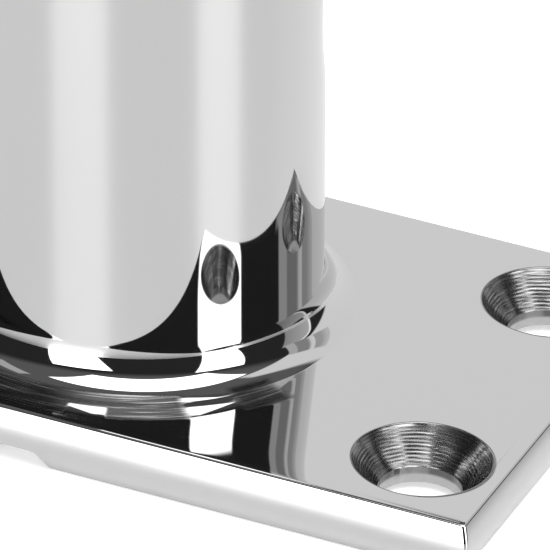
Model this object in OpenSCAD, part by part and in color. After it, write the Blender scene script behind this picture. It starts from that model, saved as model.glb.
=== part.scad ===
// Base flange for a round tube: one polished steel casting with a grub screw.
// Underside of the plate at z = 0, long side along X, socket leaning toward -X.

/* [Plate] */
// Length of the plate
plate_l = 74.4; // [66:0.1:120]
// Width of the plate
plate_w = 42.8; // [40:0.1:80]
// Thickness of the plate
plate_t = 4.6; // [4.4:0.1:8]
// How far the top edges lie inside the widest line of the rounded sides
edge_in = 0.6; // [0.5:0.1:1]
// Radius of the four upright corners
corner_r = 0.5; // [0.3:0.1:2]
// Chamfer along the bottom edges
bottom_chamfer = 0.3; // [0.1:0.05:0.5]

/* [Underside] */
// Width of the flat rim that rests on the surface
rim_w = 3.4; // [2:0.1:3.8]
// Depth of the shallow cast hollow inside the rim
hollow_depth = 0.6; // [0.3:0.1:1]
// Radius of the hollow's corners
hollow_corner_r = 2.4; // [1.2:0.1:4]

/* [Screw holes] */
// Distance from the plate's end to the nearest hole centres
hole_inset_x = 7.4; // [7:0.1:10]
// Distance from the plate's side to the nearest hole centres
hole_inset_y = 8; // [7:0.1:9]
// Diameter of the hole for the screw's shank
hole_d = 6.6; // [5:0.1:7]
// Diameter of the countersink below its broken edge
sink_d = 11; // [9:0.1:12]
// Depth of the upright land above the cone
sink_land = 0.45; // [0.3:0.05:0.8]
// Full angle of the countersink's cone
sink_angle = 90; // [82:1:100]
// Width and depth of the broken edge round the countersink
sink_break = 0.15; // [0.05:0.05:0.25]

/* [Socket] */
// Outer diameter of the socket
socket_d = 30; // [28:0.5:34]
// Height of the socket's top above the underside, along its axis
socket_h = 45; // [42:1:80]
// Lean of the socket toward the plate's left end, in degrees
lean = 3.1; // [0:0.1:5]
// Diameter of the tube that the socket takes
tube_d = 20; // [16:0.5:21]
// Gap round the tube on each side
tube_clearance = 0.2; // [0.1:0.05:0.4]
// Thickness of the socket's floor, measured from the underside
floor_t = 4; // [3:0.1:5]
// Diameter of the drain hole in the floor
drain_d = 7; // [4:0.5:7.5]
// Rounding of the socket's outer top edge
lip_r = 1; // [0.5:0.1:1.4]
// Chamfer that leads the tube into the bore
lead_in = 0.8; // [0.4:0.1:1.2]

/* [Foot of the socket] */
// Radius of the concave fillet between socket and plate
fillet_r = 3.6; // [2:0.1:3.8]

/* [Drain notch] */
// Width of the flat top of the notch in the front edge
notch_w = 1.8; // [1:0.1:6]
// Height of the notch
notch_h = 1.5; // [1.4:0.1:1.8]
// Width of the slope on each side of the flat top
notch_slope = 2.3; // [2.1:0.1:3]
// Radius that rounds the slope's shoulder and its foot
notch_r = 1; // [0.6:0.1:1]

/* [Grub screw] */
// Thread diameter of the grub screw
grub_d = 6; // [4.5:0.5:6]
// Height of the screw's axis above the plate's face
grub_z = 23.7; // [14:0.1:29]
// Direction of the screw, turned from the plate's long side
grub_turn = 30; // [0:1:90]
// Gap between the screw's point and the tube's bore
grub_back = 0.1; // [0:0.05:0.2]
// Depth of the screw's end below the polished dish round its hole
grub_sunk = 0.39; // [0.2:0.01:0.6]
// Width across flats of the hexagon socket
hex_af = 3; // [2:0.5:3]
// Depth of the hexagon socket
hex_depth = 2; // [1:0.1:2.1]
// Chamfer at both ends of the screw
grub_chamfer = 0.45; // [0.3:0.05:0.6]
// Diameter of the cup in the screw's point
cup_d = 3; // [2:0.1:3.2]
// Depth of the cup
cup_depth = 0.7; // [0.4:0.1:0.8]
// Depth of the shallow dish that polishing leaves round the hole
dish_depth = 0.31; // [0.1:0.01:0.4]
// Height of that dish along the socket
dish_h = 12.4; // [8:0.1:14]

/* [Hidden] */
$fn = 96;
// Cuts run this far past a face
over = 1;
// The notch's feet meet the underside this far short of tangent
foot_cut = 0.1;
steel = [0.78, 0.79, 0.8];
screw_steel = [0.55, 0.56, 0.58];
bore_r = tube_d / 2 + tube_clearance;
wall_r = socket_d / 2;
// Height of the sides' widest line, and the arc that runs from there to the top edge
side_z = 0.52 * plate_t;
side_r = ((plate_t - side_z) * (plate_t - side_z) + edge_in * edge_in) / (2 * edge_in);
bottom_in = side_r - sqrt(side_r * side_r - side_z * side_z);
// The fillet ends on the plate's flat face, short of its edges
foot_fillet_r = min(fillet_r, plate_w / 2 - edge_in - wall_r);
// The fillet runs this far into the socket's wall, so that the two cross all round
wall_bite = 0.05;
foot_r = wall_r - wall_bite + foot_fillet_r;
foot_z = plate_t + foot_fillet_r;
// The leaning axis passes here at the fillet's top
foot_x = -tan(lean) * foot_fillet_r;
// The notch's slope runs this far inside both of its rounded corners
notch_bite = 0.02;
notch_rise = 2 * notch_r - notch_h - foot_cut;
notch_angle = asin(2 * notch_r / norm([notch_slope, notch_rise])) - atan2(notch_rise, notch_slope);
notch_x = (notch_r - notch_bite) * sin(notch_angle);
notch_z = notch_r - (notch_r - notch_bite) * cos(notch_angle);
grub_axis_z = plate_t + grub_z;
grub_tip_r = bore_r + grub_back;
grub_l = wall_r - dish_depth - grub_sunk - grub_tip_r;
// Sphere that cuts a dish of the given depth and height into the wall's side
dish_r = (dish_h * dish_h / 4 + dish_depth * dish_depth) / (2 * dish_depth);
sink_cone_h = (sink_d - hole_d) / 2 / tan(sink_angle / 2);

// Rectangle centred on the origin with true round corners
module rounded_rectangle(l, w, r) {
    square([l - 2 * r, w], center = true);
    square([l, w - 2 * r], center = true);
    for (x = [-1, 1], y = [-1, 1])
        translate([x * (l / 2 - r), y * (w / 2 - r)]) circle(r);
}

// Cross-section of the plate over a width: round sides, chamfered below
module plate_section(w) {
    middle = w / 2 - side_r;
    foot = w / 2 - bottom_in - bottom_chamfer;
    intersection() {
        union() {
            translate([-middle, 0]) square([2 * middle, plate_t]);
            for (side = [-1, 1])
                translate([side * middle, side_z]) circle(side_r);
        }
        polygon([
            [-foot, 0], [foot, 0],
            [foot + plate_t, plate_t], [-foot - plate_t, plate_t],
        ]);
    }
}

// Plate whose rounded sides meet in mitres at softened upright corners
module plate() {
    intersection() {
        rotate([90, 0, 0])
            linear_extrude(plate_w + 2 * over, center = true) plate_section(plate_l);
        rotate([90, 0, 90])
            linear_extrude(plate_l + 2 * over, center = true) plate_section(plate_w);
        linear_extrude(plate_t) rounded_rectangle(plate_l, plate_w, corner_r);
    }
}

// Turns its children onto the leaning axis, which meets the plate's face at its centre
module on_socket_axis() {
    translate([0, 0, plate_t]) rotate([0, -lean, 0]) translate([0, 0, -plate_t]) children();
}

// Fillet that leads from the plate's face up to the leaning wall
module socket_foot() {
    inside = bore_r - over;
    translate([foot_x, 0, 0])
        rotate_extrude()
            difference() {
                translate([inside, plate_t / 2]) square([foot_r - inside, foot_z - plate_t / 2]);
                translate([foot_r, foot_z]) circle(foot_fillet_r);
            }
}

// Wall of the socket with its rounded lip
module socket_wall() {
    inside = bore_r - over;
    rotate_extrude() {
        translate([inside, plate_t / 2]) square([wall_r - inside, socket_h - lip_r - plate_t / 2]);
        translate([inside, plate_t / 2]) square([wall_r - lip_r - inside, socket_h - plate_t / 2]);
        translate([wall_r - lip_r, socket_h - lip_r]) circle(lip_r);
    }
}

// Bore for the tube, its lead-in and the drain hole below it
module socket_bore() {
    translate([0, 0, floor_t]) cylinder(h = socket_h, r = bore_r);
    translate([0, 0, socket_h - lead_in])
        cylinder(h = lead_in + over, r1 = bore_r, r2 = bore_r + lead_in + over);
    translate([0, 0, -over]) cylinder(h = floor_t + 2 * over, d = drain_d);
}

// Hole for one countersunk screw: shank, cone, land and broken edge
module screw_hole() {
    cone_top = plate_t - sink_land;
    break_z = plate_t - sink_break;
    translate([0, 0, -over]) cylinder(h = plate_t + over, d = hole_d);
    translate([0, 0, cone_top - sink_cone_h]) cylinder(h = sink_cone_h, d1 = hole_d, d2 = sink_d);
    translate([0, 0, cone_top]) cylinder(h = sink_land + over, d = sink_d);
    translate([0, 0, break_z])
        cylinder(h = sink_break + over, d1 = sink_d, d2 = sink_d + 2 * (sink_break + over));
}

module screw_holes() {
    for (x = [-1, 1], y = [-1, 1])
        translate([x * (plate_l / 2 - hole_inset_x), y * (plate_w / 2 - hole_inset_y), 0])
            screw_hole();
}

// Arch of the notch, seen along the plate's width: flat top, slopes with rounded ends
module notch_section() {
    half = notch_w / 2;
    foot = half + notch_slope;
    difference() {
        union() {
            for (side = [-1, 1])
                translate([side * half, notch_h - notch_r]) circle(notch_r);
            translate([-half, -over]) square([notch_w, notch_h + over]);
            polygon([
                [-foot, -over], [foot, -over],
                [foot, notch_z - foot_cut], [foot - notch_x, notch_z - foot_cut],
                [half + notch_x, notch_h - notch_z], [-half - notch_x, notch_h - notch_z],
                [-foot + notch_x, notch_z - foot_cut], [-foot, notch_z - foot_cut],
            ]);
        }
        for (side = [-1, 1])
            translate([side * foot, notch_r - foot_cut]) circle(notch_r);
    }
}

// Shallow hollow inside the rim, and the channel from the drain hole to the notch
module underside() {
    translate([0, 0, -over])
        linear_extrude(hollow_depth + over)
            rounded_rectangle(plate_l - 2 * rim_w, plate_w - 2 * rim_w, hollow_corner_r);
    rotate([90, 0, 0]) linear_extrude(plate_w / 2 + over) notch_section();
}

// Places its children on the screw's axis, with +Z pointing out of the socket
module on_grub_axis() {
    translate([0, 0, grub_axis_z]) rotate([0, 90, grub_turn]) children();
}

// Threaded hole, and the shallow dish that polishing leaves round its mouth
module grub_hole() {
    cylinder(h = wall_r + over, d = grub_d);
    intersection() {
        translate([0, 0, wall_r - dish_depth + dish_r]) sphere(dish_r);
        cylinder(h = wall_r + over, d = dish_h + over);
    }
}

// The casting: plate and socket in one piece, with every hole cut through both
module base_flange() {
    color(steel)
        difference() {
            union() {
                plate();
                socket_foot();
                on_socket_axis() socket_wall();
            }
            on_socket_axis() {
                socket_bore();
                on_grub_axis() grub_hole();
            }
            screw_holes();
            underside();
        }
}

// Grub screw with a hexagon socket, a chamfer at each end and a cup point
module grub_screw() {
    small_d = grub_d - 2 * grub_chamfer;
    color(screw_steel)
        on_socket_axis() on_grub_axis() translate([0, 0, grub_tip_r])
            difference() {
                union() {
                    cylinder(h = grub_chamfer, d1 = small_d, d2 = grub_d);
                    translate([0, 0, grub_chamfer])
                        cylinder(h = grub_l - 2 * grub_chamfer, d = grub_d);
                    translate([0, 0, grub_l - grub_chamfer])
                        cylinder(h = grub_chamfer, d1 = grub_d, d2 = small_d);
                }
                translate([0, 0, -over])
                    cylinder(h = cup_depth + over, d1 = cup_d * (1 + over / cup_depth), d2 = 0);
                translate([0, 0, grub_l - hex_depth])
                    cylinder(h = hex_depth + over, d = hex_af / cos(30), $fn = 6);
            }
}

base_flange();
grub_screw();
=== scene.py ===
"""Looks of a tube base flange: a mirror-polished steel casting and the grub screw in its socket.

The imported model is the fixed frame. The casting and the screw are modelled again here with fine,
smoothly shaded surfaces, and stand on a pale floor in a small light studio.
"""

import logging
import math
from dataclasses import dataclass
from enum import Enum
from typing import Callable, Iterable, Sequence

import bmesh
import bpy
from mathutils import Matrix, Vector


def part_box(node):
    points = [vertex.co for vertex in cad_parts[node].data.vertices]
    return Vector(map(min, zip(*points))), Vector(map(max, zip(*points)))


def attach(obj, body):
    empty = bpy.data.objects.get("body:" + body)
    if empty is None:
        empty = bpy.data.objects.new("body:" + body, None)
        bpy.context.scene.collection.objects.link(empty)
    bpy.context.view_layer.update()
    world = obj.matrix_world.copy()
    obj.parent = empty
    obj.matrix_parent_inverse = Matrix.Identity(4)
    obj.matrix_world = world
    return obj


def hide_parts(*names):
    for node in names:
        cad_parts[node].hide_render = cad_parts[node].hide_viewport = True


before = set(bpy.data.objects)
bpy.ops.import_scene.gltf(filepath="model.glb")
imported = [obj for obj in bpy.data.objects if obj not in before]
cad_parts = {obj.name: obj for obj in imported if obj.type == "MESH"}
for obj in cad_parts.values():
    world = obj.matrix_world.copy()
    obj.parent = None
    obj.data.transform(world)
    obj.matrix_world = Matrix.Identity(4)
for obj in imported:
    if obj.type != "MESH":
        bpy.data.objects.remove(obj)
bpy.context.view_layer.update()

log = logging.getLogger("base_flange")

MM = 0.001
ROOT = "root"
SHARP_ANGLE = math.radians(28)
Z_AXIS = Vector((0.0, 0.0, 1.0))
OVER = 1.0

Point = tuple[float, float]
Pair = tuple[float, float]
Light = tuple["Signal", "Signal | float"]


class Cut(Enum):
    """What a boolean does with the second solid."""

    ADD = "UNION"
    REMOVE = "DIFFERENCE"


class Slot(Enum):
    """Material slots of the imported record."""

    CASTING = "polished_steel"
    SCREW = "screw_steel"


def arc(centre: Point, radius: float, start: float, end: float, steps: int) -> list[Point]:
    """Points along an arc in a profile's plane.

    Args:
        centre: Centre of the arc.
        radius: Radius of the arc.
        start: Angle of the first point in degrees, counted from the first axis.
        end: Angle of the last point in degrees.
        steps: Number of segments.

    Returns:
        steps + 1 points.
    """
    angles = [math.radians(start + (end - start) * k / steps) for k in range(steps + 1)]
    return [(centre[0] + radius * math.cos(a), centre[1] + radius * math.sin(a)) for a in angles]


def rows(start: float, end: float, pitch: float) -> list[float]:
    """Evenly spaced values strictly between start and end, about one pitch apart."""
    count = max(1, round(abs(end - start) / pitch))
    return [start + (end - start) * k / count for k in range(1, count)]


def smooth_step(value: float) -> float:
    """Smooth rise from 0 to 1 as value goes from 0 to 1."""
    t = min(1.0, max(0.0, value))
    return t * t * (3 - 2 * t)


class Workpiece:
    """A mesh being shaped, in millimetres. It becomes an object in metres when it is finished."""

    def __init__(self) -> None:
        """Starts an empty mesh."""
        self.bm = bmesh.new()

    def revolve(self, profile: Sequence[Point], steps: int) -> "Workpiece":
        """Spins a profile of (radius, height) points round the Z axis into a closed solid.

        Args:
            profile: Outline from the axis and back to it.
            steps: Number of segments round the axis.

        Returns:
            This workpiece.
        """
        verts = [self.bm.verts.new((r, 0.0, z)) for r, z in profile]
        edges = [self.bm.edges.new(pair) for pair in zip(verts, verts[1:])]
        bmesh.ops.spin(
            self.bm, geom=verts + edges, cent=(0, 0, 0), axis=Z_AXIS, dvec=(0, 0, 0),
            angle=math.tau, steps=steps, use_merge=True, use_duplicate=False,
        )
        bmesh.ops.remove_doubles(self.bm, verts=self.bm.verts[:], dist=1e-5)
        bmesh.ops.recalc_face_normals(self.bm, faces=self.bm.faces[:])
        return self

    def rounded_plate(
        self, half: Point, radius: float, corner_steps: int, levels: Sequence[Point]
    ) -> "Workpiece":
        """Builds a closed rectangular solid by drawing its outline down through several levels.

        Args:
            half: Half length and half width of the outline before it is inset.
            radius: Radius of the upright corners.
            corner_steps: Number of points in each corner.
            levels: (inset, height) of each outline, from the first face to the last.

        Returns:
            This workpiece.
        """
        first_inset, first_z = levels[0]
        turn = Matrix.Rotation(math.pi / (4 * corner_steps), 4, "Z")
        circle = bmesh.ops.create_circle(
            self.bm, cap_ends=True, radius=radius, segments=4 * corner_steps, matrix=turn
        )["verts"]
        for v in circle:
            side_x, side_y = math.copysign(1, v.co.x), math.copysign(1, v.co.y)
            v.co.x += side_x * (half[0] - first_inset - radius)
            v.co.y += side_y * (half[1] - first_inset - radius)
            v.co.z = first_z
        loop = list({e for v in circle for e in v.link_edges})
        for (inset, z), (next_inset, next_z) in zip(levels, levels[1:]):
            made = bmesh.ops.extrude_edge_only(self.bm, edges=loop)["geom"]
            out = inset - next_inset
            for v in (g for g in made if isinstance(g, bmesh.types.BMVert)):
                side_x, side_y = math.copysign(1, v.co.x), math.copysign(1, v.co.y)
                v.co += Vector((side_x * out, side_y * out, next_z - z))
            loop = [g for g in made if isinstance(g, bmesh.types.BMEdge)]
        bmesh.ops.edgeloop_fill(self.bm, edges=loop)
        bmesh.ops.recalc_face_normals(self.bm, faces=self.bm.faces[:])
        return self

    def move(self, matrix: Matrix) -> "Workpiece":
        """Applies a transform to the whole mesh."""
        bmesh.ops.transform(self.bm, matrix=matrix, verts=self.bm.verts[:])
        return self

    def finish(self, name: str) -> bpy.types.Object:
        """Turns the mesh into an object in metres, placed by its vertices."""
        bmesh.ops.scale(self.bm, vec=(MM, MM, MM), verts=self.bm.verts[:])
        mesh = bpy.data.meshes.new(name)
        self.bm.to_mesh(mesh)
        self.bm.free()
        piece = bpy.data.objects.new(name, mesh)
        bpy.context.scene.collection.objects.link(piece)
        return piece


def machine(piece: bpy.types.Object, tools: Iterable[tuple[bpy.types.Object, Cut]]) -> None:
    """Joins or cuts solids into a piece, one after another, and deletes them.

    Args:
        piece: The piece that is worked on.
        tools: Each solid and what it does.
    """
    tools = list(tools)
    for tool, action in tools:
        step = piece.modifiers.new(tool.name, "BOOLEAN")
        step.operation = action.value
        step.solver = "EXACT"
        step.object = tool
    bpy.context.view_layer.update()
    graph = bpy.context.evaluated_depsgraph_get()
    worked = bpy.data.meshes.new_from_object(piece.evaluated_get(graph))
    piece.modifiers.clear()
    piece.data = worked
    for tool, _ in tools:
        bpy.data.objects.remove(tool)


def reshape(piece: bpy.types.Object, change: Callable[[Vector], Vector]) -> None:
    """Moves every vertex of a piece by a rule that takes and gives millimetres."""
    for v in piece.data.vertices:
        v.co = change(v.co / MM) * MM
    piece.data.update()


def shade(piece: bpy.types.Object) -> None:
    """Shades a piece smoothly between its sharp edges, led by its larger faces."""
    piece.data.shade_smooth()
    piece.data.set_sharp_from_angle(angle=SHARP_ANGLE)
    normals = piece.modifiers.new("even_normals", "WEIGHTED_NORMAL")
    normals.keep_sharp = True
    normals.weight = 50


class Signal:
    """A shader value. Arithmetic on it adds Math nodes."""

    def __init__(self, shader: "Shader", socket: bpy.types.NodeSocket) -> None:
        """Wraps an output socket of a shader's node tree."""
        self.shader = shader
        self.socket = socket

    def math(self, operation: str, *others: "Signal | float", clamp: bool = False) -> "Signal":
        """Adds a Math node with this value first."""
        settings = {"operation": operation, "use_clamp": clamp}
        return self.shader.node("ShaderNodeMath", settings, {i: v for i, v in enumerate((self, *others))})

    def __add__(self, other: "Signal | float") -> "Signal":
        """Sum."""
        return self.math("ADD", other)

    def __radd__(self, other: float) -> "Signal":
        """Sum with a number first."""
        return self.math("ADD", other)

    def __sub__(self, other: "Signal | float") -> "Signal":
        """Difference."""
        return self.math("SUBTRACT", other)

    def __rsub__(self, other: float) -> "Signal":
        """Difference from a number."""
        settings = {"operation": "SUBTRACT"}
        return self.shader.node("ShaderNodeMath", settings, {0: other, 1: self})

    def __mul__(self, other: "Signal | float") -> "Signal":
        """Product."""
        return self.math("MULTIPLY", other)

    def __rmul__(self, other: float) -> "Signal":
        """Product with a number first."""
        return self.math("MULTIPLY", other)

    def __truediv__(self, other: "Signal | float") -> "Signal":
        """Quotient."""
        return self.math("DIVIDE", other)

    def between(self, low: float, high: float, blur: float) -> "Signal":
        """1 between two values and 0 outside, with soft ends of the given width."""
        return self.ramp(low - blur / 2, low + blur / 2) * (1 - self.ramp(high - blur / 2, high + blur / 2))

    def ramp(self, start: float, end: float) -> "Signal":
        """Smooth rise from 0 at start to 1 at end."""
        settings = {"interpolation_type": "SMOOTHSTEP"}
        return self.shader.node("ShaderNodeMapRange", settings, {0: self, 1: start, 2: end, 3: 0.0, 4: 1.0})


class Shader:
    """A node tree that is written as expressions."""

    def __init__(self, tree: bpy.types.NodeTree) -> None:
        """Empties the tree and keeps it."""
        tree.nodes.clear()
        self.tree = tree

    def node(
        self, kind: str, settings: dict | None = None, inputs: dict | None = None, output: int | str = 0
    ) -> Signal:
        """Adds a node.

        Args:
            kind: The node's type.
            settings: Its properties, set before its sockets.
            inputs: Values or signals by socket name or number.
            output: Name or number of the socket that is wanted.

        Returns:
            The output as a signal.
        """
        made = self.tree.nodes.new(kind)
        for key, value in (settings or {}).items():
            setattr(made, key, value)
        for key, value in (inputs or {}).items():
            if isinstance(value, Signal):
                self.tree.links.new(value.socket, made.inputs[key])
            else:
                made.inputs[key].default_value = value
        return Signal(self, made.outputs[output])

    def output(self, kind: str, surface: Signal) -> None:
        """Adds the tree's output node and joins the surface to it."""
        end = self.tree.nodes.new(kind)
        self.tree.links.new(surface.socket, end.inputs["Surface"])

    def vector(self, operation: str, *values: "Signal | Sequence[float]", output: int | str = 0) -> Signal:
        """Adds a Vector Math node."""
        inputs = {i: v for i, v in enumerate(values)}
        return self.node("ShaderNodeVectorMath", {"operation": operation}, inputs, output)

    def position(self) -> tuple[Signal, Signal, Signal, Signal]:
        """Object coordinates in millimetres: the vector, then x, y and z."""
        place = self.node("ShaderNodeTexCoord", output="Object")
        scaled = self.vector("SCALE", place)
        scaled.socket.node.inputs["Scale"].default_value = 1 / MM
        return scaled, *(self.node("ShaderNodeSeparateXYZ", None, {0: scaled}, i) for i in range(3))


def new_material(name: str) -> tuple[bpy.types.Material, Shader]:
    """Makes an empty material and its shader."""
    material = bpy.data.materials.new(name)
    material.use_nodes = True
    return material, Shader(material.node_tree)


@dataclass(frozen=True)
class ToolMarksAndShade:
    """Where the casting isn't a plain mirror: the scratched foot and the turned countersinks, whose colour is
    also darkened as painted shade.

    Lengths are in millimetres. Angles are in radians round the socket, from +X.
    """

    ring: Pair = (16.85, 20.0)
    ring_blur: float = 0.4
    face: Pair = (4.2, 4.4)
    above: Pair = (5.2, 5.8)
    front: Pair = (-2.7, -0.94)
    side: Pair = (-0.71, -0.5)
    turn_blur: float = 0.06
    clear: Pair = (-1.42, -1.26)
    clear_blur: float = 0.02
    clear_from: Pair = (18.3, 18.5)
    foot_grain: tuple[float, float, float] = (7.0, 2.5, 3.0)
    foot_streak: Pair = (0.48, 0.72)
    # Painted shade: how far the foot ring's colour is darkened, and how much of that its streaks take back.
    foot_painted_shade: Pair = (0.5, 0.36)
    foot_rough: float = 0.22
    hole: Pair = (29.8, 13.4)
    cone: Pair = (5.5, 5.58)
    cone_low: Pair = (1.2, 1.5)
    cone_grain: Pair = (11.0, 1.6)
    cone_streak: Pair = (0.4, 0.75)
    # Painted shade: how far the countersinks' colour is darkened, and how much of that the turning rings take
    # back.
    cone_painted_shade: Pair = (0.4, 0.22)
    cone_rough: float = 0.2
    depth: float = 0.012

    def lay(self, shader: Shader, grey: float, roughness: float) -> dict[str, Signal]:
        """Adds the tool marks and the painted shade to a polished metal.

        Args:
            shader: The metal's node tree.
            grey: The metal's level where it is a plain mirror.
            roughness: Its roughness there.

        Returns:
            Inputs of the surface by socket name.
        """
        _, x, y, z = shader.position()
        radius, angle = (x * x + y * y).math("SQRT"), y.math("ARCTAN2", x)
        foot = self.foot(radius, angle, z)
        hole_x, hole_y = x.math("ABSOLUTE") - self.hole[0], y.math("ABSOLUTE") - self.hole[1]
        sink = (hole_x * hole_x + hole_y * hole_y).math("SQRT")
        cone = (1 - sink.ramp(*self.cone)) * z.ramp(*self.cone_low)
        across, skew, round_foot = self.foot_grain
        circling = self.noise(shader, radius * across + angle * skew, angle * round_foot, z * 0.5)
        across, round_hole = self.cone_grain
        rings = self.noise(shader, sink * across, hole_y.math("ARCTAN2", hole_x) * round_hole, x * 0.01)
        height = circling * foot * self.depth + rings * cone * self.depth
        bump = {"Strength": 1.0, "Distance": MM, "Height": height}
        # Painted shade: the colour of the scratched foot ring is darkened, in streaks, to dim its
        # reflections.
        foot_painted_shade = foot * (self.foot_painted_shade[0] - circling.ramp(*self.foot_streak) * self.foot_painted_shade[1])
        # Painted shade: the colour inside the countersinks is darkened, in rings.
        cone_painted_shade = cone * (self.cone_painted_shade[0] - rings.ramp(*self.cone_streak) * self.cone_painted_shade[1])
        level = grey - (foot_painted_shade + cone_painted_shade)
        return {
            "Base Color": shader.node("ShaderNodeCombineColor", inputs={0: level, 1: level, 2: level}),
            "Roughness": foot * self.foot_rough + cone * self.cone_rough + roughness,
            "Normal": shader.node("ShaderNodeBump", inputs=bump),
        }

    def foot(self, radius: Signal, angle: Signal, z: Signal) -> Signal:
        """1 where the plate round the socket's foot is scratched and its colour darkened as painted shade."""
        turn = angle.between(*self.front, self.turn_blur) + angle.between(*self.side, self.turn_blur)
        clear = angle.between(*self.clear, self.clear_blur) * radius.ramp(*self.clear_from)
        level = (1 - z.ramp(*self.above)) * z.ramp(*self.face)
        return radius.between(*self.ring, self.ring_blur) * level * turn * (1 - clear)

    def noise(self, shader: Shader, *place: Signal) -> Signal:
        """Even noise at a place given by three values."""
        spot = shader.node("ShaderNodeCombineXYZ", inputs={i: v for i, v in enumerate(place)})
        settings = {"Vector": spot, "Scale": 1.0, "Detail": 3.0}
        return shader.node("ShaderNodeTexNoise", inputs=settings)


@dataclass(frozen=True)
class Steel:
    """Polished stainless steel."""

    name: str
    grey: float
    roughness: float
    # Tool marks, together with the painted shade in the foot ring and the countersinks.
    marks: ToolMarksAndShade | None = None

    def material(self) -> bpy.types.Material:
        """Builds the material."""
        material, shader = new_material(self.name)
        inputs = {
            "Base Color": (self.grey, self.grey, self.grey, 1),
            "Metallic": 1.0,
            "Roughness": self.roughness,
        }
        if self.marks:
            inputs.update(self.marks.lay(shader, self.grey, self.roughness))
        shader.output("ShaderNodeOutputMaterial", shader.node("ShaderNodeBsdfPrincipled", inputs=inputs))
        return material


# The casting's steel, with painted shade in its foot ring and countersinks.
MIRROR_POLISH = Steel("mirror_polish", 0.565, 0.03, ToolMarksAndShade())
SCREW_FINISH = Steel("screw_finish", 0.5, 0.2)


@dataclass
class Casting:
    """The flange's one-piece casting. Sizes are in millimetres."""

    half_length: float
    half_width: float
    plate: float = 4.6
    corner: float = 0.35
    edge_in: float = 0.6
    edge_round: float = 0.3
    bottom_round: float = 0.4
    widest: float = 2.392
    level_pitch: float = 0.13
    roll_width: float = 4.5
    roll_drop: float = 0.07
    corner_reach: float = 1.6
    corner_drop: float = 0.12
    draw_from: Pair = (24.0, -8.0)
    draw_in: float = 0.2
    corner_from: float = -17.5
    corner_in: float = 0.35
    draw_length: float = 4.0
    lean: float = 3.1
    height: float = 45.0
    socket: float = 15.0
    fillet: float = 3.3
    fillet_end: float = 15.0
    foot_round: float = 0.6
    lip: float = 1.0
    bore: float = 10.2
    lead_in: float = 0.8
    floor: float = 4.0
    drain: float = 3.5
    hole_x: float = 29.8
    hole_y: float = 13.4
    shank: float = 3.3
    sink: float = 5.4
    sink_land: float = 0.1
    sink_depth: float = 2.65
    rim_break: float = 0.04
    ring_count: float = 11.0
    ring_sway: float = 0.45
    ring_depth: float = 0.006
    chatter: float = 0.045
    rim: float = 3.4
    hollow: float = 0.6
    hollow_corner: float = 2.4
    notch_half: float = 0.9
    notch_slope: float = 2.3
    notch_round: float = 1.0
    notch_height: float = 1.5
    notch_sunk: float = 0.1
    grub_radius: float = 3.0
    grub_height: float = 28.3
    grub_turn: float = 30.0
    dish_depth: float = 0.31
    dish_reach: float = 6.4
    wall_pitch: float = 0.45
    around: int = 240

    def edge_levels(self) -> list[Point]:
        """(inset, height) of the plate's outlines from its top face down to its underside."""
        rise = self.plate - self.widest
        side = (rise * rise + self.edge_in ** 2) / (2 * self.edge_in)
        ends = []
        for small, reach in ((self.edge_round, rise), (self.bottom_round, self.widest)):
            angle = math.asin((reach - small) / (side - small))
            ends.append((side - (side - small) * math.cos(angle), math.degrees(angle)))
        (top_in, top_angle), (low_in, low_angle) = ends
        flat = [(d, self.plate) for d in (*reversed(rows(top_in, self.roll_width, self.level_pitch)), top_in)]
        crease = arc((0.0, self.plate - self.edge_round), self.edge_round, 90, top_angle, 10)
        upper = arc((0.0, self.widest), side, top_angle, 0, 16)
        lower = arc((0.0, self.widest), side, 0, -low_angle, 10)
        foot = arc((0.0, self.bottom_round), self.bottom_round, -low_angle, -90, 8)
        return [
            *flat,
            *((top_in - x, z) for x, z in crease[1:]),
            *((side - x, z) for x, z in upper[1:] + lower[1:]),
            *((low_in - x, z) for x, z in foot[1:]),
        ]

    def plate_solid(self) -> bpy.types.Object:
        """The plate before it is drilled."""
        half = (self.half_length, self.half_width)
        return Workpiece().rounded_plate(half, self.corner, 8, self.edge_levels()).finish("plate")

    def socket_solid(self) -> bpy.types.Object:
        """The socket's outside with its fillet, standing in the plate."""
        r, z, f = self.socket, self.plate, self.fillet
        inside = 1.0
        s, end = self.foot_round, math.radians(self.fillet_end)
        top = z + s + (f - s) * math.cos(end)
        foot = r + f - (f - s) * math.sin(end)
        skirt = foot + 0.04
        wall = [(r, h) for h in rows(top, self.height - self.lip, self.wall_pitch)]
        profile = [
            (0.0, inside), (skirt, inside), (skirt, z),
            *arc((foot, z + s), s, 270, 270 - self.fillet_end, 10),
            *arc((r + f, top), f, 270 - self.fillet_end, 180, 40)[1:],
            *wall,
            *arc((r - self.lip, self.height - self.lip), self.lip, 0, 90, 14),
            (self.bore, self.height), (0.0, self.height),
        ]
        piece = Workpiece().revolve(profile, self.around).finish("socket")
        reshape(piece, self.leaned)
        return piece

    def leaned(self, p: Vector) -> Vector:
        """Where the lean takes a point: level rings at the fillet, square to the axis higher up."""
        slide = math.tan(math.radians(self.lean)) * (p.z - self.plate)
        level = p - Vector((slide, 0, 0))
        start, end = self.plate + self.fillet + 0.3, 0.6 * self.height
        return level.lerp(self.socket_frame() @ p, smooth_step((p.z - start) / (end - start)))

    def socket_frame(self) -> Matrix:
        """Frame of the leaning socket: Z runs up its axis."""
        foot = Matrix.Translation((0, 0, self.plate))
        return foot @ Matrix.Rotation(-math.radians(self.lean), 4, "Y") @ foot.inverted()

    def bore_cutter(self) -> bpy.types.Object:
        """Cutter for the bore, its lead-in and the drain hole."""
        low, high, top = self.floor, self.height - self.lead_in, self.height + 2 * OVER
        break_in, corner = 0.2, 0.4
        profile = [
            (0.0, -OVER), (self.drain, -OVER), (self.drain, low - break_in), (self.drain + break_in, low),
            *arc((self.bore - corner, low + corner), corner, 270, 360, 6),
            *((self.bore, h) for h in rows(low + corner, high, 1.0)),
            (self.bore, high), (self.bore + self.lead_in + 2 * OVER, top), (0.0, top),
        ]
        return Workpiece().revolve(profile, self.around).move(self.socket_frame()).finish("bore_cutter")

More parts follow.
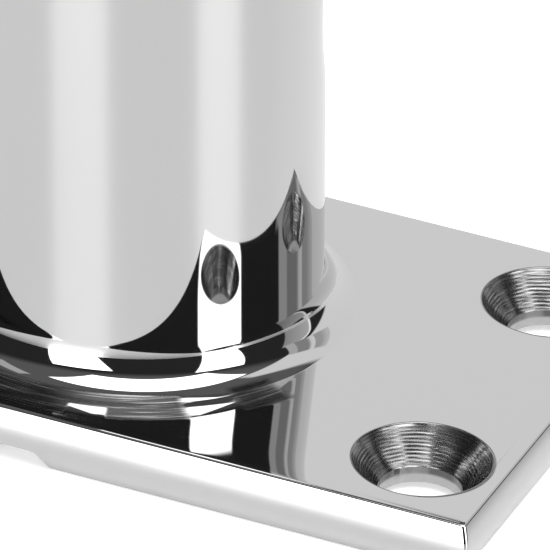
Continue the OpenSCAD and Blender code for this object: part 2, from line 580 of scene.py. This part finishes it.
    def sink_cutter(self, x: float, y: float) -> bpy.types.Object:
        """Cutter for one countersunk hole, with the rings that the tool leaves on its cone."""
        land, cone = self.plate - self.sink_land, self.plate - self.sink_depth
        wide, tall, top, b = self.sink - self.shank, land - cone, self.plate + OVER, self.rim_break
        parts = 66
        rings = [(self.shank + wide * k / parts, cone + tall * k / parts) for k in range(1, parts)]
        profile = [
            (0.0, -OVER), (self.shank, -OVER), (self.shank, cone), *rings, (self.sink, land),
            (self.sink, self.plate - b), (self.sink + b + OVER, top), (0.0, top),
        ]
        piece = Workpiece().revolve(profile, 160).finish("sink_cutter")
        reshape(piece, lambda p: self.chattered(p, x, y) + Vector((x, y, 0)))
        return piece

    def chattered(self, p: Vector, x: float, y: float) -> Vector:
        """Where the tool's chatter and its rings leave a point of a countersink's cutter.

        Args:
            p: The point, with the hole's axis as Z axis.
            x: Place of the hole, which gives each hole its own marks.
            y: The same across the plate.

        Returns:
            The moved point.
        """
        along = (p.z - self.plate + self.sink_depth) / (self.sink_depth - self.sink_land)
        if not 0.001 < along < 0.999 or p.xy.length < 1:
            return p
        turn = math.atan2(p.y, p.x)
        ring = math.sin(math.tau * (self.ring_count * along + self.ring_sway * math.sin(2 * turn + x)))
        wave = math.sin(7 * turn + 2 * along + y) + 0.5 * math.sin(12 * turn - 3 * along)
        depth = (self.ring_depth * ring + self.chatter * wave) * math.sin(math.pi * along) ** 0.5
        q = p.copy()
        q.xy *= 1 + depth / p.xy.length
        return q

    def hollow_cutter(self) -> bpy.types.Object:
        """Cutter for the shallow hollow inside the underside's rim."""
        half = (self.half_length - self.rim, self.half_width - self.rim)
        h = self.hollow
        levels = [(0.3, h), (0.1, h - 0.05), (0.02, h - 0.2), (0.0, -OVER)]
        return Workpiece().rounded_plate(half, self.hollow_corner, 12, levels).finish("hollow_cutter")

    def channel_cutter(self) -> bpy.types.Object:
        """Cutter for the drain channel, whose end is the notch in the plate's front edge."""
        r, high, low = self.notch_round, self.notch_height, -self.notch_sunk
        foot = self.notch_half + self.notch_slope
        rise = 2 * r + low - high
        tangent = math.asin(2 * r / math.hypot(self.notch_slope, rise))
        turn = math.degrees(tangent - math.atan2(rise, self.notch_slope))
        outline = [
            (-foot, -OVER),
            *arc((-foot, low + r), r, 270, 270 + turn, 10),
            *arc((-self.notch_half, high - r), r, 90 + turn, 90, 10),
        ]
        outline += [(-x, z) for x, z in reversed(outline)]
        work = Workpiece()
        verts = [work.bm.verts.new((x, 0.0, z)) for x, z in outline]
        face = work.bm.faces.new(verts)
        made = bmesh.ops.extrude_face_region(work.bm, geom=[face])["geom"]
        ends = [g for g in made if isinstance(g, bmesh.types.BMVert)]
        bmesh.ops.translate(work.bm, vec=(0, -self.half_width - OVER, 0), verts=ends)
        bmesh.ops.recalc_face_normals(work.bm, faces=work.bm.faces[:])
        return work.finish("channel_cutter")

    def grub_frame(self) -> Matrix:
        """Frame of the screw's hole: Z points out of the socket along the hole."""
        lift = self.socket_frame() @ Matrix.Translation((0, 0, self.grub_height))
        turn = Matrix.Rotation(math.radians(self.grub_turn), 4, "Z")
        return lift @ turn @ Matrix.Rotation(math.pi / 2, 4, "Y")

    def grub_cutter(self) -> bpy.types.Object:
        """Cutter for the threaded hole and the bevel at its mouth."""
        r, mouth = self.grub_radius, self.socket - self.dish_depth
        start, bevel, past = 4.0, 0.3, 2.0
        profile = [
            (0.0, start), (r, start), (r, mouth - bevel),
            (r + bevel + past, mouth + past), (0.0, mouth + past),
        ]
        return Workpiece().revolve(profile, 96).move(self.grub_frame()).finish("grub_cutter")

    def polished(self, p: Vector) -> Vector:
        """Where polishing leaves a point of the casting."""
        return self.dished(p, self.drawn_in(self.rolled(p)))

    def rolled(self, p: Vector) -> Vector:
        """Where the roll-off toward the plate's edges and corners leaves a point."""
        q = p.copy()
        from_x, from_y = self.half_length - abs(p.x), self.half_width - abs(p.y)
        if p.z > self.widest and p.xy.length > self.socket + 0.5 * self.fillet:
            near = max(0.0, 1 - max(min(from_x, from_y), self.edge_in) / self.roll_width)
            in_x = max(0.0, 1 - from_x / self.corner_reach)
            in_y = max(0.0, 1 - from_y / self.corner_reach)
            drop = self.roll_drop * near ** 3 + self.corner_drop * (in_x * in_y) ** 2
            q.z -= drop * smooth_step((p.z - self.widest) / (self.plate - self.widest))
        return q

    def drawn_in(self, p: Vector) -> Vector:
        """Where the narrower front of the plate's right side leaves a point."""
        q = p.copy()
        start_x, start_y = self.draw_from
        if p.x > start_x and p.y < start_y:
            draw = self.draw_in * smooth_step((start_y - p.y) / self.draw_length)
            draw += self.corner_in * smooth_step((self.corner_from - p.y) / self.draw_length)
            q.x -= draw * smooth_step((p.x - start_x) / (self.half_length - start_x))
        return q

    def dished(self, p: Vector, q: Vector) -> Vector:
        """Where the dish round the screw leaves a point.

        Args:
            p: The point as it was machined.
            q: The point after the other changes.

        Returns:
            The second point, sunk by the dish.
        """
        local = self.grub_frame().inverted() @ p
        upright = self.socket_frame().inverted() @ p
        span = math.hypot(local.x, local.y) / self.dish_reach
        if local.z <= 0 or abs(upright.xy.length - self.socket) >= 0.5 or span >= 1:
            return q
        outward = Vector((upright.x, upright.y, 0)).normalized()
        depth = self.dish_depth * (1 - span * span) ** 2
        return q - self.socket_frame().to_3x3() @ outward * depth

    def build(self) -> bpy.types.Object:
        """Machines the solids into the casting and shades it."""
        piece = self.plate_solid()
        piece.name = "flange_casting"
        holes = [self.sink_cutter(x * self.hole_x, y * self.hole_y) for x in (-1, 1) for y in (-1, 1)]
        machine(
            piece,
            [
                (self.socket_solid(), Cut.ADD),
                (self.bore_cutter(), Cut.REMOVE),
                *((hole, Cut.REMOVE) for hole in holes),
                (self.hollow_cutter(), Cut.REMOVE),
                (self.channel_cutter(), Cut.REMOVE),
                (self.grub_cutter(), Cut.REMOVE),
            ],
        )
        reshape(piece, self.polished)
        shade(piece)
        return piece


@dataclass
class GrubScrew:
    """The cup-point screw in the socket's side. Z runs along it from its point. Sizes in millimetres."""

    place: Matrix
    start: float = 10.3
    length: float = 4.0
    radius: float = 3.0
    pitch: float = 1.0
    thread: float = 0.55
    chamfer: float = 0.45
    cup: float = 1.5
    cup_depth: float = 0.7
    flats: float = 3.0
    hex_depth: float = 2.0
    around: int = 96

    def threaded(self, p: Vector) -> Vector:
        """Where thread cutting leaves a point of the screw's side."""
        r = p.xy.length
        if r < self.radius - self.chamfer - 0.01:
            return p
        along = p.z - self.start
        phase = (along / self.pitch - math.atan2(p.y, p.x) / math.tau) % 1.0
        groove = self.thread * max(0.0, 1 - abs(phase - 0.5) / 0.44)
        ends = min(1.0, along / self.chamfer, (self.length - along) / self.chamfer)
        limit = self.radius - self.chamfer * (1 - max(0.0, ends))
        q = p.copy()
        q.xy = p.xy.normalized() * min(limit, self.radius - groove)
        return q

    def hex_cutter(self) -> bpy.types.Object:
        """Cutter for the hexagon socket."""
        top = self.start + self.length
        work = Workpiece()
        bmesh.ops.create_cone(
            work.bm, cap_ends=True, segments=6, radius1=self.flats / math.sqrt(3),
            radius2=self.flats / math.sqrt(3), depth=self.hex_depth + 1,
            matrix=Matrix.Translation((0, 0, top - self.hex_depth / 2 + 0.5)),
        )
        return work.finish("hex_cutter")

    def build(self) -> bpy.types.Object:
        """Turns the screw, cuts its thread and its hexagon, and sets it in the socket."""
        low, high, c = self.start, self.start + self.length, self.chamfer
        side = [(self.radius, z) for z in rows(low + c, high - c, 0.08)]
        profile = [
            (0.0, low + self.cup_depth), (self.cup, low), (self.radius - c, low),
            *((self.radius - c * (1 - s), low + c * s) for s in (0.2, 0.4, 0.6, 0.8)),
            (self.radius, low + c), *side, (self.radius, high - c),
            *((self.radius - c * s, high - c * (1 - s)) for s in (0.2, 0.4, 0.6, 0.8)),
            (self.radius - c, high), (0.0, high),
        ]
        piece = Workpiece().revolve(profile, self.around).finish("grub_screw_cut")
        reshape(piece, self.threaded)
        machine(piece, [(self.hex_cutter(), Cut.REMOVE)])
        reshape(piece, lambda p: self.place @ p)
        shade(piece)
        return piece


@dataclass(frozen=True)
class Panel:
    """An upright light of the studio, by its direction from the flange.

    Azimuth is counted in degrees from the camera, to the right in the picture. The slopes say how
    far the right side moves per degree of height, and the top per degree of azimuth.
    """

    left: float
    right: float
    top: float
    level: float
    right_slope: float = 0.0
    top_slope: float = 0.0
    bottom: float = -200.0
    blur: float = 1.2

    def mask(self, azimuth: Signal, height: Signal) -> Signal:
        """1 inside the panel and 0 outside."""
        right = height * self.right_slope + self.right
        top = (azimuth - self.left) * self.top_slope + self.top
        inside = azimuth.between(self.left, 400, self.blur)
        inside = inside * (right - azimuth).ramp(-self.blur / 2, self.blur / 2)
        inside = inside * height.ramp(self.bottom - self.blur / 2, self.bottom + self.blur / 2)
        return inside * (top - height).ramp(-self.blur / 2, self.blur / 2)


@dataclass(frozen=True)
class Screen:
    """Grey screen at the right, with a rounded upper corner and a bright border. Angles in degrees."""

    left: Pair = (96.5, 98.0)
    right: float = 118.5
    top: float = 25.0
    corner: float = 11.0
    border: float = 1.6
    border_from: Pair = (98.0, 106.0)
    border_level: float = 0.7
    start: float = 96.0
    level: float = 0.36
    level_slope: float = 0.012

    def mask(self, azimuth: Signal, height: Signal, inset: float = 0.0) -> Signal:
        """1 on the screen, drawn in by an inset, and 0 outside."""
        over_x = (azimuth - (self.right - self.corner)).math("MAXIMUM", 0.0)
        over_y = (height - (self.top - self.corner)).math("MAXIMUM", 0.0)
        reach = (over_x * over_x + over_y * over_y).math("SQRT")
        return (self.corner - inset - reach).ramp(-0.5, 0.5) * azimuth.ramp(*self.left)

    def light(self, azimuth: Signal, height: Signal) -> Light:
        """Mask and level of the screen."""
        return self.mask(azimuth, height), (azimuth - self.start) * self.level_slope + self.level

    def edge(self, azimuth: Signal, height: Signal) -> Signal:
        """Light of the border, which lies over the backdrop too."""
        line = self.mask(azimuth, height) - self.mask(azimuth, height, self.border)
        return line * azimuth.ramp(*self.border_from) * self.border_level


@dataclass(frozen=True)
class Cards:
    """Stepped grey cards above the screen, with a bright edge between them.

    Their azimuths are in degrees, counted at the upright height, and slant with the height. Each step
    has its start, its end and the change of level.
    """

    left: float = 100.5
    right: float = 137.0
    bottom: float = 23.0
    top: float = 38.0
    blur: float = 1.5
    upright: float = 26.0
    slant: float = 0.8
    level: float = 0.62
    steps: tuple[tuple[float, float, float], ...] = (
        (107, 108.5, -0.27), (117, 121, 0.6), (123, 124, -0.45), (128, 136, 0.25),
    )

    def light(self, azimuth: Signal, height: Signal) -> Light:
        """Mask and level of the cards."""
        across = azimuth - (height - self.upright) * self.slant
        level: Signal | float = self.level
        for start, end, change in self.steps:
            level = across.ramp(start, end) * change + level
        inside = height.between(self.bottom, self.top, self.blur)
        return inside * across.between(self.left, self.right, self.blur), level


@dataclass(frozen=True)
class Backdrop:
    """Pale backdrop behind the flange, with a slanting side at the right and a falling top."""

    level: float = 1.0
    side: float = 135.6
    side_slope: float = 0.72
    top: float = 58.0
    top_from: float = 110.0
    top_slope: float = 0.33
    blur: float = 1.5
    left: Pair = (-110.0, -114.0)
    left_top: Pair = (52.0, 49.0)

    def light(self, azimuth: Signal, height: Signal) -> Light:
        """Mask and level of the backdrop."""
        side = self.side - height * self.side_slope
        top = self.top - (azimuth - self.top_from).math("MAXIMUM", 0.0) * self.top_slope
        at_right = (azimuth - side).ramp(-self.blur, self.blur) * (top - height).ramp(-self.blur, self.blur)
        at_left = azimuth.ramp(*self.left) * height.ramp(*self.left_top)
        return at_right + at_left, self.level


@dataclass(frozen=True)
class Overhead:
    """Level rectangular panel above and before the flange, turned a little to the side.

    Its ends are given per unit of its height over the flange.
    """

    level: float = 4.0
    turn: float = 9.5
    along: Pair = (0.1, 0.8)
    across: Pair = (-0.46, 0.735)
    blur: float = 0.03

    def light(self, x: Signal, y: Signal, z: Signal) -> Light:
        """Mask and level of the panel for a ray toward the camera (x), to the right (y) and up (z)."""
        turn = math.radians(self.turn)
        depth = z.math("MAXIMUM", 0.02)
        along = (x * math.cos(turn) + y * math.sin(turn)) / depth
        across = (y * math.cos(turn) - x * math.sin(turn)) / depth
        return along.between(*self.along, self.blur) * across.between(*self.across, self.blur), self.level


@dataclass(frozen=True)
class Floor:
    """Pale, slightly glossy floor. A part of its light doesn't depend on the shadow."""

    half: float = 3000.0
    matt: float = 0.8
    glow_seen: float = 0.6
    glow_mirrored: float = 0.2
    roughness: float = 0.3
    refraction: float = 1.5

    def material(self) -> bpy.types.Material:
        """Builds the floor's material."""
        material, shader = new_material("pale_floor")
        seen = shader.node("ShaderNodeLightPath", output="Is Camera Ray")
        mirrored = shader.node("ShaderNodeLightPath", output="Is Glossy Ray")
        strength = seen * self.glow_seen + mirrored * self.glow_mirrored
        glow = shader.node("ShaderNodeEmission", inputs={"Color": (1, 1, 1, 1), "Strength": strength})
        matt = shader.node("ShaderNodeBsdfDiffuse", inputs={"Color": (self.matt, self.matt, self.matt, 1)})
        gloss = shader.node(
            "ShaderNodeBsdfGlossy", inputs={"Color": (1, 1, 1, 1), "Roughness": self.roughness}
        )
        share = shader.node("ShaderNodeFresnel", inputs={"IOR": self.refraction})
        body = shader.node("ShaderNodeAddShader", inputs={0: glow, 1: matt})
        surface = shader.node("ShaderNodeMixShader", inputs={0: share, 1: body, 2: gloss})
        shader.output("ShaderNodeOutputMaterial", surface)
        return material

    def build(self) -> None:
        """Lays the floor under the flange."""
        work = Workpiece()
        bmesh.ops.create_grid(work.bm, x_segments=1, y_segments=1, size=self.half)
        plane = work.finish("floor")
        plane.data.materials.append(self.material())


@dataclass
class Studio:
    """Floor, surroundings and camera."""

    camera_turn: float = 21.012
    camera_rise: float = 29.595
    camera_roll: float = 3.416
    camera_distance: float = 696.986
    camera_right: float = 11.066
    camera_up: float = 1.70
    aim_height: float = 4.6
    focal_pixels: float = 9000.0
    picture: float = 550.0
    dark: float = 0.03
    haze: float = 0.12
    haze_from: Pair = (36.0, 48.0)
    panels: tuple[Panel, ...] = (
        Panel(-42, -15, 33, 5.5, right_slope=0.25),
        Panel(43.5, 64, 39, 4.0, right_slope=0.28, top_slope=-0.1),
        Panel(-108, -88, 64, 0.6, bottom=50),
    )
    screen: Screen = Screen()
    cards: Cards = Cards()
    backdrop: Backdrop = Backdrop()
    overhead: Overhead = Overhead()
    floor: Floor = Floor()

    def axes(self) -> tuple[Vector, Vector, Vector]:
        """Right, forward and up of the camera."""
        turn, rise = math.radians(self.camera_turn), math.radians(self.camera_rise)
        right = Vector((math.cos(turn), math.sin(turn), 0))
        ahead = Vector((-math.sin(turn) * math.cos(rise), math.cos(turn) * math.cos(rise), -math.sin(rise)))
        return right, ahead, right.cross(ahead)

    def spot(self) -> Vector:
        """Where the camera stands, in millimetres."""
        right, ahead, up = self.axes()
        aim = Vector((0, 0, self.aim_height))
        return aim + right * self.camera_right + up * self.camera_up - ahead * self.camera_distance

    def camera(self) -> None:
        """Places the camera at the photograph's viewing angle."""
        right, ahead, up = self.axes()
        level = Matrix((right, up, -ahead)).transposed().to_4x4()
        turned = level @ Matrix.Rotation(math.radians(self.camera_roll), 4, "Z")
        data = bpy.data.cameras.new("camera")
        data.sensor_width = 36
        data.lens = self.focal_pixels / self.picture * data.sensor_width
        data.clip_start, data.clip_end = 0.01, 20
        camera = bpy.data.objects.new("camera", data)
        bpy.context.scene.collection.objects.link(camera)
        camera.matrix_world = Matrix.Translation(self.spot() * MM) @ turned
        bpy.context.scene.camera = camera

    def surroundings(self) -> None:
        """Lights the world: a dark room, soft panels, an overhead panel and a pale backdrop behind."""
        world = bpy.data.worlds.new("studio")
        world.use_nodes = True
        bpy.context.scene.world = world
        shader = Shader(world.node_tree)
        right, ahead, _ = self.axes()
        toward = Vector((-ahead.x, -ahead.y, 0)).normalized()
        ray = shader.node("ShaderNodeTexCoord", output="Generated")
        x = shader.vector("DOT_PRODUCT", ray, toward, output="Value")
        y = shader.vector("DOT_PRODUCT", ray, right, output="Value")
        z = shader.vector("DOT_PRODUCT", ray, Z_AXIS, output="Value")
        azimuth = y.math("ARCTAN2", x) * (180 / math.pi)
        height = z.math("ARCSINE") * (180 / math.pi)
        light = self.dark + height.ramp(*self.haze_from) * self.haze
        for panel in self.panels:
            light = self.lay(light, panel.mask(azimuth, height), panel.level)
        light = self.lay(light, *self.screen.light(azimuth, height))
        light = self.lay(light, *self.backdrop.light(azimuth, height))
        light = light + self.screen.edge(azimuth, height)
        light = self.lay(light, *self.cards.light(azimuth, height))
        light = self.lay(light, *self.overhead.light(x, y, z))
        background = shader.node("ShaderNodeBackground", inputs={"Color": (1, 1, 1, 1), "Strength": light})
        shader.output("ShaderNodeOutputWorld", background)

    def lay(self, light: Signal, mask: Signal, level: Signal | float) -> Signal:
        """Puts a light of the given level in front of what is there already."""
        return light * (1 - mask) + mask * level

    def build(self) -> None:
        """Sets the whole studio up."""
        self.camera()
        self.surroundings()
        self.floor.build()
        bpy.context.scene.view_settings.view_transform = "Standard"


def main() -> None:
    """Builds the studio, the casting and the screw."""
    logging.basicConfig(level=logging.INFO, format="%(message)s")
    _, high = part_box("base_flange")
    casting = Casting(half_length=high.x / MM, half_width=high.y / MM)
    Studio().build()
    piece = casting.build()
    piece.data.materials.clear()
    piece.data.materials.append(MIRROR_POLISH.material())
    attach(piece, ROOT)
    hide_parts("base_flange")
    log.info("%s: %d faces", piece.name, len(piece.data.polygons))
    screw = GrubScrew(place=casting.grub_frame()).build()
    screw.data.materials.clear()
    screw.data.materials.append(SCREW_FINISH.material())
    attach(screw, ROOT)
    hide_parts("grub_screw")
    log.info("%s: %d faces", screw.name, len(screw.data.polygons))


if __name__ == "__main__":
    main()
